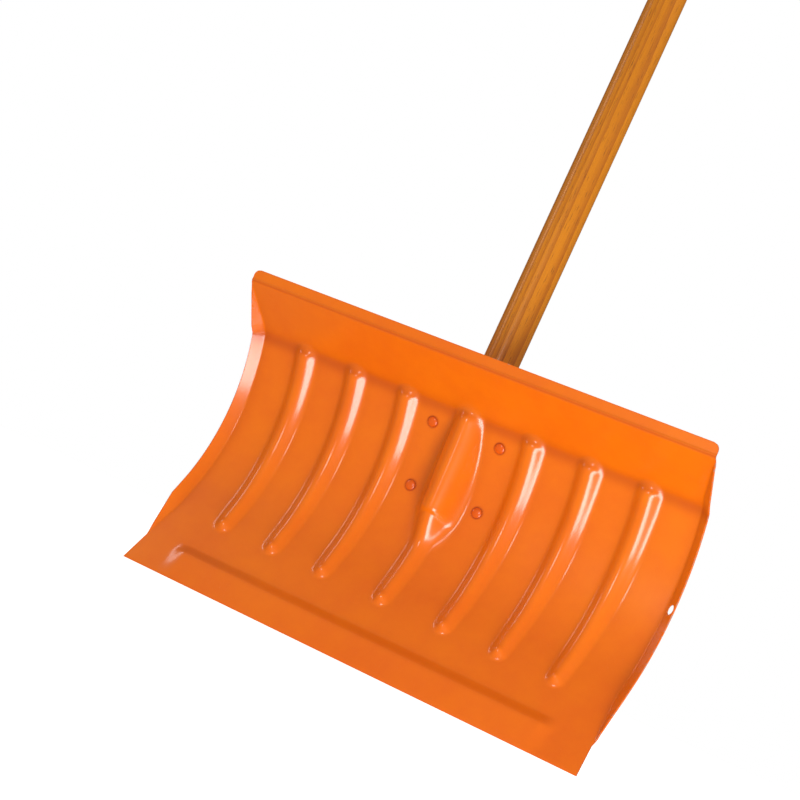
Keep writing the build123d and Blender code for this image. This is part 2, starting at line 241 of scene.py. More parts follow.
@dataclass
class FaceLine:
    """The blade's front face from the side, walked up from the cutting edge at y = 0 and z = 0."""

    lower_length: float = 0.091
    lower_lean: float = 29.0
    belly_radius: float = 0.160
    belly_end_lean: float = -28.5
    crease_radius: float = 0.014
    upper_length: float = 0.0538
    upper_lean: float = -54.5
    lip_bend_radius: float = 0.0024
    lip_lean: float = -8.0
    lip_length: float = 0.012
    runs: list[Run] = field(default_factory=list)

    def __post_init__(self) -> None:
        """Lay the runs end to end."""
        lower, belly, upper, lip = (
            math.radians(v) for v in (self.lower_lean, self.belly_end_lean, self.upper_lean, self.lip_lean)
        )
        tangent = self.lip_bend_radius * math.tan((lip - upper) / 2)
        plan = [
            (self.lower_length, lower, lower),
            (self.belly_radius * (lower - belly), lower, belly),
            (self.crease_radius * (belly - upper), belly, upper),
            (self.upper_length - tangent, upper, upper),
            (self.lip_bend_radius * (lip - upper), upper, lip),
            (self.lip_length - tangent, lip, lip),
        ]
        start = y = z = 0.0
        for length, lean, after in plan:
            run = Run(start, length, lean, (lean - after) / length, y, z)
            self.runs.append(run)
            end_y, end_z, _ = self.on_run(run, np.array([start + length]))
            y, z, start = float(end_y[0]), float(end_z[0]), start + length

    @property
    def belly_start(self) -> float:
        """Station where the belly starts."""
        return self.runs[1].start

    @property
    def belly_end(self) -> float:
        """Station where the belly ends and the crease starts."""
        return self.runs[2].start

    @property
    def lip_start(self) -> float:
        """Station in the middle of the bend to the lip."""
        return self.runs[4].start + self.runs[4].length / 2

    @property
    def end(self) -> float:
        """Station of the lip's edge."""
        return self.runs[5].start + self.runs[5].length

    @property
    def deepest(self) -> float:
        """Largest y of the face, where the belly is upright."""
        y, _, _ = self.at(np.array([self.belly_start + self.belly_radius * math.radians(self.lower_lean)]))
        return float(y[0])

    @staticmethod
    def on_run(run: Run, station: np.ndarray) -> tuple[np.ndarray, np.ndarray, np.ndarray]:
        """Find y, z and lean at stations of one run."""
        along = station - run.start
        lean = run.lean - run.curl * along
        if abs(run.curl) < 1e-9:
            return run.y + math.sin(run.lean) * along, run.z + math.cos(run.lean) * along, lean
        y = run.y + (np.cos(lean) - math.cos(run.lean)) / run.curl
        z = run.z + (math.sin(run.lean) - np.sin(lean)) / run.curl
        return y, z, lean

    def at(self, station: np.ndarray) -> tuple[np.ndarray, np.ndarray, np.ndarray]:
        """Find points of the face.

        Args:
            station: Distances up the face, from the cutting edge.

        Returns:
            The y, the z and the lean in radians at each.
        """
        station = np.asarray(station, float)
        y, z, lean = self.on_run(self.runs[0], station)
        for run in self.runs[1:]:
            inside = station > run.start
            run_y, run_z, run_lean = self.on_run(run, station)
            y = np.where(inside, run_y, y)
            z = np.where(inside, run_z, z)
            lean = np.where(inside, run_lean, lean)
        return y, z, lean


@dataclass
class Layout:
    """Places that several pieces share: the face, the pole's axis and taper, and the rivets."""

    face: FaceLine = field(default_factory=FaceLine)
    sheet: float = 0.0012
    pole_before_belly: float = 0.0091
    rivet_spread: float = 0.0343
    rivet_upper_gap: float = 0.016
    rivet_row_gap: float = 0.059
    taper_length: float = 0.095
    tip_radius: float = 0.010
    seat_radius: float = 0.0157
    socket_clearance: float = 0.0003

    def __post_init__(self) -> None:
        """Find the pole's axis in the frame and lay the blade's face beside it."""
        low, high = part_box("pole")
        self.axis_y = (low.y + high.y) / 2
        self.tip_z = low.z
        self.top_z = high.z
        self.pole_radius = (high.x - low.x) / 2
        self.edge_y = self.axis_y - (self.face.deepest - self.pole_before_belly)
        self.upper_rivets = self.face.belly_end - self.rivet_upper_gap
        self.lower_rivets = self.upper_rivets - self.rivet_row_gap

    def on_face(self, station: np.ndarray, inset: float = 0.0) -> tuple[np.ndarray, np.ndarray, np.ndarray]:
        """Find y, z and lean in the row frame at stations of the face, so far behind it."""
        y, z, lean = self.face.at(station)
        return y + self.edge_y + np.cos(lean) * inset, z - np.sin(lean) * inset, lean

    def seat_at(self, z: np.ndarray) -> np.ndarray:
        """Radius of the pole's tapered seat at heights inside the socket."""
        share = np.clip((z - self.tip_z) / self.taper_length, 0.0, 1.0)
        return self.tip_radius + (self.seat_radius - self.tip_radius) * share


# Materials


class NodeKit:
    """Short way to add and join shader nodes in one tree."""

    def __init__(self, tree: bpy.types.NodeTree) -> None:
        """Keep the tree that the nodes go in."""
        self.tree = tree

    def new(self, kind: str, settings: dict | None = None, **inputs: object) -> bpy.types.Node:
        """Add a node of any kind.

        Args:
            kind: The node's whole type.
            settings: Properties of the node.
            inputs: A value or a socket for each named input, with _ for a space.

        Returns:
            The new node.
        """
        node = self.tree.nodes.new(kind)
        for name, value in (settings or {}).items():
            setattr(node, name, value)
        for name, value in inputs.items():
            self.feed(node.inputs[name.replace("_", " ")], value)
        return node

    def add(self, kind: str, settings: dict | None = None, **inputs: object) -> bpy.types.Node:
        """Add a node whose type is given without its "ShaderNode" beginning."""
        return self.new("ShaderNode" + kind, settings, **inputs)

    def feed(self, socket: bpy.types.NodeSocket, value: object) -> None:
        """Join a socket to another, or set its value."""
        if isinstance(value, bpy.types.NodeSocket):
            self.tree.links.new(value, socket)
        else:
            socket.default_value = value

    def math(self, operation: str, a: object, b: object = 0.0, clamp: bool = False) -> bpy.types.NodeSocket:
        """Add a Math node and give its result."""
        node = self.tree.nodes.new("ShaderNodeMath")
        node.operation = operation
        node.use_clamp = clamp
        self.feed(node.inputs[0], a)
        if len(node.inputs) > 1:
            self.feed(node.inputs[1], b)
        return node.outputs[0]

    def times(self, a: object, b: object) -> bpy.types.NodeSocket:
        """Multiply two values."""
        return self.math("MULTIPLY", a, b)

    def plus(self, a: object, b: object, clamp: bool = False) -> bpy.types.NodeSocket:
        """Add two values."""
        return self.math("ADD", a, b, clamp)

    def attribute(self, name: str) -> bpy.types.NodeSocket:
        """Give a number that the mesh stores for each point."""
        return self.add("Attribute", {"attribute_name": name}).outputs["Fac"]

    def bump(self, height: bpy.types.NodeSocket) -> bpy.types.NodeSocket:
        """Give the normal of a surface with this height, in metres."""
        return self.add("Bump", Height=height, Strength=1.0, Distance=1.0).outputs["Normal"]

    def mix(self, factor: object, a: object, b: object) -> bpy.types.NodeSocket:
        """Mix two colours and give the result."""
        node = self.tree.nodes.new("ShaderNodeMix")
        node.data_type = "RGBA"
        self.feed(node.inputs[0], factor)
        self.feed(node.inputs[6], a)
        self.feed(node.inputs[7], b)
        return node.outputs[2]

    def span(self, value: object, low: float, high: float,
             to_low: float = 0.0, to_high: float = 1.0) -> bpy.types.NodeSocket:
        """Map a value from one range to another, held at its ends."""
        node = self.add("MapRange", {"clamp": True}, Value=value)
        for index, number in zip(range(1, 5), (low, high, to_low, to_high)):
            node.inputs[index].default_value = number
        return node.outputs[0]

    def coordinates(self, scale: tuple[float, float, float] = (1.0, 1.0, 1.0)) -> bpy.types.NodeSocket:
        """Give the object's own coordinates, scaled."""
        place = self.add("TexCoord").outputs["Object"]
        return self.add("Mapping", Vector=place, Scale=scale).outputs["Vector"]

    def noise(self, vector: object, scale: object,
              detail: float = 2.0, rough: float = 0.5) -> bpy.types.NodeSocket:
        """Give a noise value."""
        return self.add("TexNoise", Vector=vector, Scale=scale, Detail=detail, Roughness=rough).outputs[0]


def new_group(name: str, inputs: dict[str, float], outputs: dict[str, str]) -> tuple[NodeKit, dict, dict]:
    """Start a shader group.

    Args:
        name: Name of the group.
        inputs: The named inputs and their usual values.
        outputs: The named outputs and their socket types.

    Returns:
        A kit for the group's tree, its input sockets by name and its output sockets by name.
    """
    tree = bpy.data.node_groups.new(name, "ShaderNodeTree")
    for label, value in inputs.items():
        socket = tree.interface.new_socket(label, in_out="INPUT", socket_type="NodeSocketFloat")
        socket.default_value = value
    for label, kind in outputs.items():
        tree.interface.new_socket(label, in_out="OUTPUT", socket_type=kind)
    start = tree.nodes.new("NodeGroupInput")
    end = tree.nodes.new("NodeGroupOutput")
    kit = NodeKit(tree)
    return kit, {n: start.outputs[n] for n in inputs}, {n: end.inputs[n] for n in outputs}


MOTTLE_RANGE = (0.30, 0.70)
SCRATCH_TURNS = ((0.35, 900.0), (-0.6, 760.0), (1.2, 830.0))
SCRATCH_STRETCH = (22.0, 30.0)
SCRATCH_RANGE = (0.70, 0.78)
PATCH_SCALE = 18.0
PATCH_RANGE = (0.48, 0.66)
SPECK_SCALE = 420.0
SPECK_SIZE = (0.05, 0.12)
SPECK_PLACES = (0.5, 0.75)


def handling_group() -> bpy.types.NodeTree:
    """Build the group for traces of handling: soft mottling, fine scratches and a little dust.

    Returns:
        The group, with the outputs Mottle, Scratch, Dust and Height.
    """
    names = dict.fromkeys(("Mottle", "Scratch", "Dust", "Height"), "NodeSocketFloat")
    kit, given, out = new_group("handling", {"Mottle Size": 0.03, "Scratch Amount": 0.4}, names)
    place = kit.coordinates()
    mottle = kit.noise(place, kit.math("DIVIDE", 1.0, given["Mottle Size"]), 5.0, 0.62)
    kit.feed(out["Mottle"], kit.span(mottle, *MOTTLE_RANGE))
    lines = []
    for turn, stretch in SCRATCH_TURNS:
        turned = kit.add("Mapping", Vector=place, Rotation=(turn, turn * 0.5, turn),
                         Scale=(stretch, *SCRATCH_STRETCH))
        lines.append(kit.span(kit.noise(turned.outputs["Vector"], 1.0, 2.0, 0.4), *SCRATCH_RANGE))
    worst = kit.math("MAXIMUM", kit.math("MAXIMUM", lines[0], lines[1]), lines[2])
    patch = kit.span(kit.noise(place, PATCH_SCALE, 3.0), *PATCH_RANGE)
    scratch = kit.times(kit.times(worst, patch), given["Scratch Amount"])
    kit.feed(out["Scratch"], scratch)
    specks = kit.add("TexVoronoi", {"feature": "F1"}, Vector=place, Scale=SPECK_SCALE).outputs["Distance"]
    speck = kit.span(specks, *SPECK_SIZE, 1.0, 0.0)
    kit.feed(out["Dust"], kit.times(speck, kit.span(mottle, *SPECK_PLACES)))
    kit.feed(out["Height"], kit.times(scratch, -1.0))
    return kit.tree


@dataclass(frozen=True)
class Finish:
    """Common part of every finish: a name, the record's slot and the shared handling group's values."""

    name: str
    slot: str
    mottle_size: float = 0.03
    scratch_amount: float = 0.4

    def start(self) -> tuple[bpy.types.Material, NodeKit, bpy.types.Node, bpy.types.Node]:
        """Make the material with its shader and the shared handling group.
        """
        material = bpy.data.materials.new(self.name)
        material.use_nodes = True
        kit = NodeKit(material.node_tree)
        shader = material.node_tree.nodes["Principled BSDF"]
        handling = material.node_tree.nodes.new("ShaderNodeGroup")
        handling.node_tree = bpy.data.node_groups.get("handling") or handling_group()
        handling.inputs["Mottle Size"].default_value = self.mottle_size
        handling.inputs["Scratch Amount"].default_value = self.scratch_amount
        return material, kit, shader, handling

    def make(self) -> bpy.types.Material:
        """Build the material. Each kind of finish does this in its own way."""
        raise NotImplementedError


@dataclass(frozen=True)
class GlossyPaint(Finish):
    """Baked gloss paint on pressed steel, with orange peel, thin edges and small chips along the rims, and
    painted shade in its crevices and where its piece stores painted shade.
    """

    colour: Colour = (0.88, 0.188, 0.0005, 1.0)
    deep: Colour = (0.77, 0.118, 0.0, 1.0)
    shade: Colour = (0.42, 0.035, 0.0, 1.0)
    steel: Colour = (0.30, 0.27, 0.25, 1.0)
    dust: Colour = (0.85, 0.62, 0.45, 1.0)
    dust_share: float = 0.25
    broad_scale: float = 7.0
    mottle_share: float = 0.35
    broad_share: float = 0.45
    edge_wear: float = 0.55
    grit_scale: float = 340.0
    grit_wear: float = 0.75
    chip_range: Pair = (0.93, 0.99)
    chip_amount: float = 0.5
    thin_share: float = 0.35
    # Painted shade: how far the ambient occlusion reaches, its range and how strongly it darkens the paint
    # towards the shade colour.
    crevice_shade_reach: float = 0.016
    crevice_shade_range: Pair = (0.45, 0.95)
    crevice_shade_share: float = 0.85
    roughness: float = 0.34
    mottle_roughness: float = 0.07
    scratch_roughness: float = 0.3
    chip_roughness: float = 0.2
    specular: float = 0.25
    coat: float = 1.0
    coat_ior: float = 1.55
    coat_roughness: float = 0.17
    peel_scale: float = 520.0
    peel_depth: float = 0.00001
    wave_scale: float = 26.0
    wave_depth: float = 0.00016
    scratch_depth: float = 0.00002

    def make(self) -> bpy.types.Material:
        """Build the paint.

        Returns:
            The material.
        """
        material, kit, shader, handling = self.start()
        place = kit.coordinates()
        mottle, scratch = handling.outputs["Mottle"], handling.outputs["Scratch"]
        broad = kit.span(kit.noise(place, self.broad_scale), *MOTTLE_RANGE)
        tone = kit.plus(kit.times(mottle, self.mottle_share), kit.times(broad, self.broad_share))
        colour = kit.mix(tone, self.colour, self.deep)
        edge = kit.attribute("rim")
        grit = kit.noise(place, self.grit_scale, 4.0, 0.7)
        worn = kit.plus(kit.times(edge, self.edge_wear), kit.times(grit, self.grit_wear))
        chip = kit.times(kit.span(worn, *self.chip_range), self.chip_amount)
        colour = kit.mix(kit.times(kit.span(edge, 0.2, 1.0), self.thin_share), colour, self.deep)
        # Painted shade: an ambient occlusion mask darkens the paint towards the shade colour in crevices
        # and corners.
        near = kit.add("AmbientOcclusion", {"samples": 8}, Distance=self.crevice_shade_reach).outputs["AO"]
        crevice_shade = kit.times(kit.span(near, *self.crevice_shade_range, 1.0, 0.0), self.crevice_shade_share)
        colour = kit.mix(crevice_shade, colour, self.shade)
        # Painted shade stored on the piece darkens the paint towards the shade colour.
        colour = kit.mix(kit.attribute("painted_shade"), colour, self.shade)
        colour = kit.mix(chip, colour, self.steel)
        colour = kit.mix(kit.times(handling.outputs["Dust"], self.dust_share), colour, self.dust)
        kit.feed(shader.inputs["Base Color"], colour)
        rough = kit.plus(kit.times(mottle, self.mottle_roughness), self.roughness)
        rough = kit.plus(rough, kit.times(scratch, self.scratch_roughness))
        rough = kit.plus(rough, kit.times(chip, self.chip_roughness), True)
        kit.feed(shader.inputs["Roughness"], rough)
        shader.inputs["Specular IOR Level"].default_value = self.specular
        shader.inputs["Coat Weight"].default_value = self.coat
        shader.inputs["Coat IOR"].default_value = self.coat_ior
        shader.inputs["Coat Roughness"].default_value = self.coat_roughness
        peel = kit.times(kit.noise(place, self.peel_scale), self.peel_depth)
        wave = kit.times(kit.noise(place, self.wave_scale, 2.0, 0.4), self.wave_depth)
        height = kit.plus(kit.plus(peel, wave), kit.times(handling.outputs["Height"], self.scratch_depth))
        kit.feed(shader.inputs["Normal"], kit.bump(height))
        return material


@dataclass(frozen=True)
class VarnishedWood(Finish):
    """Golden brown varnished hardwood, sawn so that its year rings run along the pole."""

    light: Colour = (0.68, 0.225, 0.006, 1.0)
    dark: Colour = (0.42, 0.110, 0.003, 1.0)
    pore: Colour = (0.13, 0.035, 0.006, 1.0)
    heart: Pair = (0.055, -0.035)
    ring_width: float = 0.0042
    ring_bend: float = 0.016
    ring_sharpness: float = 2.2
    grain_length: float = 0.03
    bend_scale: float = 22.0
    fibre_length: float = 0.012
    fibre_scale: float = 1500.0
    ring_share: float = 0.55
    fibre_share: float = 0.6
    grain_range: Pair = (0.22, 0.95)
    stain_length: float = 0.25
    stain_scale: float = 16.0
    stain_range: Pair = (0.42, 0.72)
    stain_share: float = 0.4
    pore_length: float = 0.035
    pore_scale: float = 2300.0
    pore_range: Pair = (0.66, 0.74)
    pore_share: float = 0.75
    scratch_share: float = 0.35
    roughness: float = 0.34
    grain_roughness: float = 0.1
    pore_roughness: float = 0.15
    specular: float = 0.35
    ior: float = 1.5
    coat: float = 0.2
    coat_roughness: float = 0.16
    pore_depth: float = 0.00005
    wave_length: float = 0.12
    wave_scale: float = 60.0
    wave_depth: float = 0.00025

    def along(self, kit: NodeKit, length: float) -> bpy.types.NodeSocket:
        """Give coordinates that are drawn out along the pole."""
        return kit.coordinates((1.0, 1.0, length))

    def make(self) -> bpy.types.Material:
        """Build the wood.

        Returns:
            The material.
        """
        material, kit, shader, handling = self.start()
        long = self.along(kit, self.grain_length)
        bend = kit.noise(long, self.bend_scale, 3.0)
        shifted = kit.add("Mapping", Vector=long, Location=(*self.heart, 0.0)).outputs["Vector"]
        parts = kit.add("SeparateXYZ", Vector=shifted)
        across = kit.math("POWER", parts.outputs["X"], 2.0)
        deep = kit.math("POWER", parts.outputs["Y"], 2.0)
        radius = kit.math("SQRT", kit.plus(across, deep))
        radius = kit.plus(radius, kit.times(bend, self.ring_bend))
        phase = kit.math("FRACT", kit.math("DIVIDE", radius, self.ring_width))
        late = kit.math("POWER", phase, self.ring_sharpness)
        fibre = kit.noise(self.along(kit, self.fibre_length), self.fibre_scale, 3.0, 0.6)
        grain = kit.plus(kit.times(late, self.ring_share), kit.times(fibre, self.fibre_share))
        grain = kit.span(grain, *self.grain_range)
        colour = kit.mix(grain, self.light, self.dark)
        stain = kit.noise(self.along(kit, self.stain_length), self.stain_scale, 3.0)
        colour = kit.mix(kit.span(stain, *self.stain_range, 0.0, self.stain_share), colour, self.dark)
        pores = kit.noise(self.along(kit, self.pore_length), self.pore_scale, 1.0, 0.3)
        pore = kit.span(pores, *self.pore_range, 0.0, self.pore_share)
        colour = kit.mix(pore, colour, self.pore)
        colour = kit.mix(kit.times(handling.outputs["Scratch"], self.scratch_share), colour, self.light)
        kit.feed(shader.inputs["Base Color"], colour)
        rough = kit.plus(self.roughness, kit.times(grain, self.grain_roughness))
        rough = kit.plus(rough, kit.times(pore, self.pore_roughness), True)
        kit.feed(shader.inputs["Roughness"], rough)
        shader.inputs["Specular IOR Level"].default_value = self.specular
        shader.inputs["Coat Weight"].default_value = self.coat
        shader.inputs["Coat Roughness"].default_value = self.coat_roughness
        shader.inputs["IOR"].default_value = self.ior
        height = kit.times(kit.plus(pore, kit.times(fibre, 0.5)), -self.pore_depth)
        wave = kit.noise(self.along(kit, self.wave_length), self.wave_scale, 2.0, 0.4)
        kit.feed(shader.inputs["Normal"], kit.bump(kit.plus(height, kit.times(wave, self.wave_depth))))
        return material


@dataclass(frozen=True)
class PlatedSteel(Finish):
    """Bright zinc plating with fine turning lines and dull spots."""

    colour: Colour = (0.62, 0.62, 0.60, 1.0)
    dull: Colour = (0.36, 0.35, 0.33, 1.0)
    line_scale: float = 2600.0
    line_depth: float = 0.00002
    roughness: float = 0.24
    line_roughness: float = 0.2

    def make(self) -> bpy.types.Material:
        """Build the plating.

        Returns:
            The material.
        """
        material, kit, shader, handling = self.start()
        colour = kit.mix(handling.outputs["Mottle"], self.colour, self.dull)
        kit.feed(shader.inputs["Base Color"], colour)
        shader.inputs["Metallic"].default_value = 1.0
        lines = kit.noise(kit.coordinates((1.0, 0.1, 1.0)), self.line_scale)
        rough = kit.plus(self.roughness, kit.times(lines, self.line_roughness))
        kit.feed(shader.inputs["Roughness"], kit.plus(rough, handling.outputs["Scratch"], True))
        kit.feed(shader.inputs["Normal"], kit.bump(kit.times(lines, self.line_depth)))
        return material


# Pieces


@dataclass
class Piece:
    """Common part of every sub-assembly: the layout it shares and the CAD nodes that it stands for."""

    layout: Layout
    nodes: tuple[str, ...] = ()

    def dress(self, piece: bpy.types.Object, finish: Finish) -> None:
        """Give a piece its finish, its body and the CAD nodes that it stands for.

        Args:
            piece: The finished piece.
            finish: Its finish.
        """
        material = bpy.data.materials.get(finish.name) or finish.make()
        piece.data.materials.clear()
        piece.data.materials.append(material)
        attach(piece, BODY)
        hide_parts(*self.nodes)
        log.info("%s: %d faces, stands for %s", piece.name, len(piece.data.polygons), ", ".join(self.nodes))


@dataclass
class Blade(Piece):
    """The pressed blade: one sheet with ribs, a socket bulge, folded sides, a lip and a step."""

    nodes: tuple[str, ...] = ("blade",)
    width: float = 0.460
    edge_rounding: float = 0.00022
    rim_width: float = 0.0016
    fold_inset: float = 0.008
    fold_width: float = 0.012
    fold_angle: float = 44.0
    fold_radius: float = 0.0026
    fold_low_start: float = 0.030
    fold_low_full: float = 0.075
    fold_top_runout: float = 0.046
    low_corner_inset: float = 0.003
    lip_corner: float = 0.006
    step_end_inset: float = 0.034
    step_crest: float = 0.027
    step_foot: float = 0.037
    step_height: float = 0.0028
    step_runout: float = 0.016
    step_bluntness: float = 0.001
    step_top: float = 0.96
    rib_first: float = 0.064
    rib_margin: float = 0.047
    rib_narrowing: float = 0.026
    rib_start: float = 0.071
    rib_crease_gap: float = 0.004
    rib_half_width: tuple[float, float] = (0.0098, 0.0145)
    rib_height: tuple[float, float] = (0.0046, 0.0072)
    rib_crown: float = 1.15
    rib_growth: float = 0.7
    ball_height: float = 0.0009
    ball_width: float = 0.0034
    bulge_blend: float = 0.0045
    bulge_knee: float = 0.86
    crown_reach: Pair = (0.014, 0.012)
    tail_reach: float = 0.050
    # Painted shade: strength and width of the darkening painted along the crease, below the lip's bead, on
    # the step and round the rivets; raised ribs and the bulge stay clear of the crease's shade.
    crease_shade: float = 0.42
    crease_shade_width: float = 0.0065
    unshaded_height: float = 0.0028
    lip_shade: float = 0.45
    lip_shade_width: float = 0.0011
    step_shade: float = 0.22
    step_shade_width: float = 0.0045
    ring_radius: float = 0.0048
    ring_width: float = 0.0009
    ring_shade: float = 0.85
    nose_below_tip: float = 0.046
    nose_above_tip: float = 0.026
    nose_cover: float = 0.020
    nose_half_width: tuple[float, float] = (0.0116, 0.0190)
    hang_radius: float = 0.0045
    bead_above_bend: float = 0.0022
    bead_width: float = 0.0010
    bead_height: float = 0.0006
    hang_below_crease: float = 0.0863

    @property
    def fold_x(self) -> float:
        """Girth of the fold lines."""
        return self.width / 2 - self.fold_inset

    @property
    def fold_end(self) -> float:
        """Station where the full flange ends below the lip."""
        return self.layout.face.lip_start - self.fold_top_runout

    def rib_girths(self) -> list[float]:
        """Girths of the ribs' upper ends, without the middle one."""
        pitch = (self.fold_x - self.rib_margin - self.rib_first) / 2
        right = [self.rib_first + pitch * k for k in range(3)]
        return [side.value * girth for side in Side for girth in right]

    def half_girth(self, station: np.ndarray) -> np.ndarray:
        """Half width of the flat sheet before folding, at each station."""
        half = self.width / 2
        full = self.fold_x + self.fold_width
        stations = [0.0, self.fold_low_start, self.fold_low_full, self.fold_end, self.layout.face.lip_start]
        halves = [half, half - self.low_corner_inset, full, full, half]
        plain = np.interp(station, stations, halves)
        into = np.maximum(station - (self.layout.face.end - self.lip_corner), 0.0)
        corner = self.lip_corner - np.sqrt(np.maximum(self.lip_corner ** 2 - into ** 2, 0.0))
        return plain - corner

    def flange(self, station: np.ndarray) -> np.ndarray:
        """Width of the folded flange at each station."""
        stations = [self.fold_low_start, self.fold_low_full, self.fold_end, self.layout.face.lip_start]
        return np.interp(station, stations, [0.0, self.fold_width, self.fold_width, 0.0])

    def fold(self, girth: np.ndarray, station: np.ndarray) -> tuple[np.ndarray, np.ndarray]:
        """Fold the sides of the flat sheet forward.

        Args:
            girth: Distances across the flat sheet.
            station: Their stations.

        Returns:
            Their x, and how far they stand in front of the face.
        """
        width = self.flange(station)
        turn = math.radians(self.fold_angle) * ramp(width, 0.0, 0.003)
        turn = np.maximum(turn, 1e-5)
        line = self.half_girth(station) - np.maximum(width, 0.0006)
        bend = self.fold_radius * turn
        beyond = np.abs(girth) - line + bend / 2
        inside = np.clip(beyond / bend, 0.0, 1.0) * turn
        past = np.maximum(beyond - bend, 0.0)
        x = line - bend / 2 + np.minimum(beyond, 0.0)
        x = x + self.fold_radius * np.sin(inside) + past * np.cos(turn)
        rise = self.fold_radius * (1.0 - np.cos(inside)) + past * np.sin(turn)
        return np.sign(girth) * x, rise

    def along_step(self, girth: np.ndarray) -> np.ndarray:
        """How much of the step is there across the blade, from 0 past its ends to 1."""
        end = self.width / 2 - self.step_end_inset
        return 1.0 - ramp(np.abs(girth), end - self.step_runout, end)

    def step(self, girth: np.ndarray, station: np.ndarray) -> np.ndarray:
        """Height of the stiffening step above the cutting edge."""
        blunt = self.step_bluntness
        stations = [0.0, self.step_crest - blunt, self.step_crest + blunt, self.step_foot, 1.0]
        share = np.interp(station, stations, [0.0, self.step_top, self.step_top, 0.0, 0.0])
        return self.step_height * share * self.along_step(girth)

    def ribs(self, girth: np.ndarray, station: np.ndarray) -> np.ndarray:
        """Height of the ribs in front of the face, along its normal."""
        face = self.layout.face
        top = face.belly_end - self.rib_crease_gap
        share = np.clip((station - self.rib_start) / (top - self.rib_start), 0.0, 1.0)
        growth = share ** self.rib_growth
        half, tall = (low + (high - low) * growth for low, high in (self.rib_half_width, self.rib_height))
        height = np.zeros_like(girth)
        for rib in [0.0] + self.rib_girths():
            line = rib * (1.0 - self.rib_narrowing * (1.0 - share))
            past = np.maximum(station - top, 0.0) + np.maximum(self.rib_start - station, 0.0)
            apart = np.clip(np.hypot(girth - line, past) / half, 0.0, 1.0)
            section = tall * (0.5 + 0.5 * np.cos(math.pi * apart ** self.rib_crown))
            height = np.maximum(height, section)
            ball = np.hypot(girth - line, station - self.rib_start)
            height = height + self.ball_height * np.exp(-((ball / self.ball_width) ** 2))
        return height

    def bulge(self, girth: np.ndarray, station: np.ndarray) -> np.ndarray:
        """How far the socket bulge stands in front of the face, straight forward along Y."""
        layout = self.layout
        y, z, _ = layout.on_face(station)
        radius = layout.seat_at(z) + layout.socket_clearance + layout.sheet
        x = np.abs(girth)
        knee = self.bulge_knee * radius
        round_part = np.sqrt(np.maximum(radius ** 2 - np.minimum(x, knee) ** 2, 0.0))
        slope = knee / np.sqrt(radius ** 2 - knee ** 2)
        front = y - layout.axis_y + round_part - slope * np.maximum(x - knee, 0.0)
        crease = layout.face.belly_end
        crown = ramp(station, crease - self.crown_reach[0], crease + self.crown_reach[1])
        tail = 1.0 - ramp(z, layout.tip_z, layout.tip_z + self.tail_reach)
        blend = self.bulge_blend * (1.0 + crown + tail)
        rise = ramp(z, layout.tip_z - self.nose_below_tip, layout.tip_z + self.nose_above_tip)
        half = self.nose_half_width[0] + (self.nose_half_width[1] - self.nose_half_width[0]) * rise
        centre = np.maximum(y - layout.axis_y + radius, 0.0) * rise
        nose = centre * (0.5 + 0.5 * np.cos(math.pi * np.clip(x / half, 0.0, 1.0) ** self.rib_crown))
        covered = over(front, blend) * ramp(z, layout.tip_z - self.nose_cover, layout.tip_z)
        return np.maximum(nose * (1.0 - rise) + over(front, blend) * rise, covered)

    def bead(self, station: np.ndarray) -> np.ndarray:
        """Height of the small bead that stiffens the lip just above its bend."""
        apart = station - self.layout.face.lip_start - self.bead_above_bend
        return self.bead_height * np.exp(-((apart / self.bead_width) ** 2))

    def surface(self, girth: np.ndarray, station: np.ndarray) -> np.ndarray:
        """Place points of the flat sheet on the pressed blade.

        Args:
            girth: Distances across the flat sheet.
            station: Distances up it.

        Returns:
            One row of x, y and z for each point.
        """
        x, rise = self.fold(girth, station)
        y, z, lean = self.layout.on_face(station)
        ribs = self.ribs(girth, station)
        bulge = self.bulge(girth, station)
        share = np.clip(bulge / (ribs + bulge + 1e-9), 0.0, 1.0)
        along = rise + self.step(girth, station) + self.bead(station) + ribs * (1.0 - share)
        return np.stack([x, y - np.cos(lean) * along - bulge, z + np.sin(lean) * along], axis=-1)

    def grid(self) -> tuple[np.ndarray, np.ndarray]:
        """Lay out the columns and rows of the flat sheet, fine where its shape turns.

        Returns:
            Girth and station of each point, as two grids.
        """
        face = self.layout.face
        hang = face.belly_end - self.hang_below_crease
        spots = [(rib, 0.0145, 0.0017) for rib in self.rib_girths()]
        spots.append((0.0, 0.022, 0.0018))
        fold = self.fold_x
        spots += [(side.value * fold, 0.002, 0.0009) for side in Side]
        spots += [(side.value * self.layout.rivet_spread, 0.0062, 0.0013) for side in Side]
        inner = graded(-fold, fold, 0.0085, spots)
        rows = graded(0.0, face.end, 0.0038, [
            (self.step_crest + 0.002, 0.005, 0.0009),
            (self.rib_start - 0.001, 0.010, 0.0015),
            (hang, 0.0055, 0.0007),
            (self.layout.lower_rivets, 0.0062, 0.0013),
            (self.layout.upper_rivets, 0.0062, 0.0013),
            (face.belly_end, 0.010, 0.0014),
            (face.lip_start + 0.001, 0.004, 0.0005),
            (face.end, 0.005, 0.0009),
        ])
        outer = np.linspace(0.0, 1.0, 18)[1:]
        columns = len(inner) + 2 * len(outer)
        girth = np.zeros((len(rows), columns))
        half = self.half_girth(rows)
        line = half - np.maximum(self.flange(rows), 0.0006)
        strip = half - line
        girth[:, len(outer):-len(outer)] = inner[None, :] / fold * line[:, None]
        girth[:, -len(outer):] = line[:, None] + outer[None, :] * strip[:, None]
        girth[:, :len(outer)] = -girth[:, ::-1][:, :len(outer)]
        return girth, np.repeat(rows[:, None], columns, axis=1)

